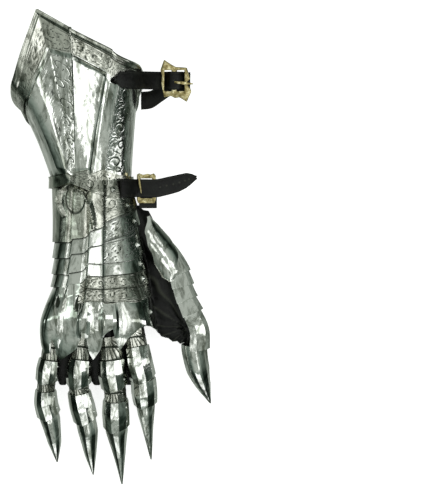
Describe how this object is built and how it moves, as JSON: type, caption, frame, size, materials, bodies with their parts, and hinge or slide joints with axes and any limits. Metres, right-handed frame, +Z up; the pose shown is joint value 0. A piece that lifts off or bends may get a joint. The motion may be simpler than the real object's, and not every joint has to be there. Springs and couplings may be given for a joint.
{
  "type": "armoured gauntlet",
  "caption": "Plate gauntlet with a fluted flared cuff, overlapping lames, clawed fingertips, a leather glove and buckled straps.",
  "frame": {"origin": "under the middle of the bounding box, on the surface it lies on", "axes": "+Z up from the palm to the back of the hand, +Y from the fingers to the cuff, +X to the thumb side"},
  "size_m": [0.2, 0.4756, 0.0993],
  "materials": {
    "polished_steel": "polished",
    "engraved_steel": "engraved and tarnished",
    "brass": "polished",
    "black_leather": "satin"
  },
  "bodies": {
    "root": {"boss_plate": "engraved_steel", "boss_plate_rivet": "polished_steel", "cuff_border": "engraved_steel", "cuff_buckle": "brass", "cuff_buckle_prong": "brass", "cuff_plate": "polished_steel", "cuff_rivet": "polished_steel", "cuff_strap": "black_leather", "cuff_strap_return": "black_leather", "glove": "black_leather", "hand_lame_1": "polished_steel", "hand_lame_1_rivet": "polished_steel", "hand_lame_2": "polished_steel", "hand_lame_2_rivet": "polished_steel", "hand_lame_3": "polished_steel", "hand_lame_3_rivet": "polished_steel", "hand_lame_4": "engraved_steel", "hand_lame_4_rivet": "polished_steel", "hand_lame_5": "engraved_steel", "index_claw": "polished_steel", "index_end_plate": "polished_steel", "index_first_plate": "polished_steel", "index_joint_lame": "polished_steel", "index_knuckle_lame": "engraved_steel", "knuckle_plate": "polished_steel", "knuckle_wing_rivet": "polished_steel", "little_claw": "polished_steel", "little_end_plate": "polished_steel", "little_first_plate": "polished_steel", "little_joint_lame": "polished_steel", "little_knuckle_lame": "engraved_steel", "middle_claw": "polished_steel", "middle_end_plate": "polished_steel", "middle_first_plate": "polished_steel", "middle_joint_lame": "polished_steel", "middle_knuckle_lame": "engraved_steel", "ring_claw": "polished_steel", "ring_end_plate": "polished_steel", "ring_first_plate": "polished_steel", "ring_joint_lame": "polished_steel", "ring_knuckle_lame": "engraved_steel", "thumb_claw": "polished_steel", "thumb_knuckle_plate": "polished_steel", "thumb_lame_1": "polished_steel", "thumb_lame_2": "polished_steel", "thumb_lame_3": "polished_steel", "thumb_lame_4": "polished_steel", "thumb_leaf_plate": "polished_steel", "wrist_buckle": "brass", "wrist_buckle_prong": "brass", "wrist_lame": "engraved_steel", "wrist_lame_rivet": "polished_steel", "wrist_strap": "black_leather", "wrist_strap_tab": "black_leather"}
  },
  "joints": []
}
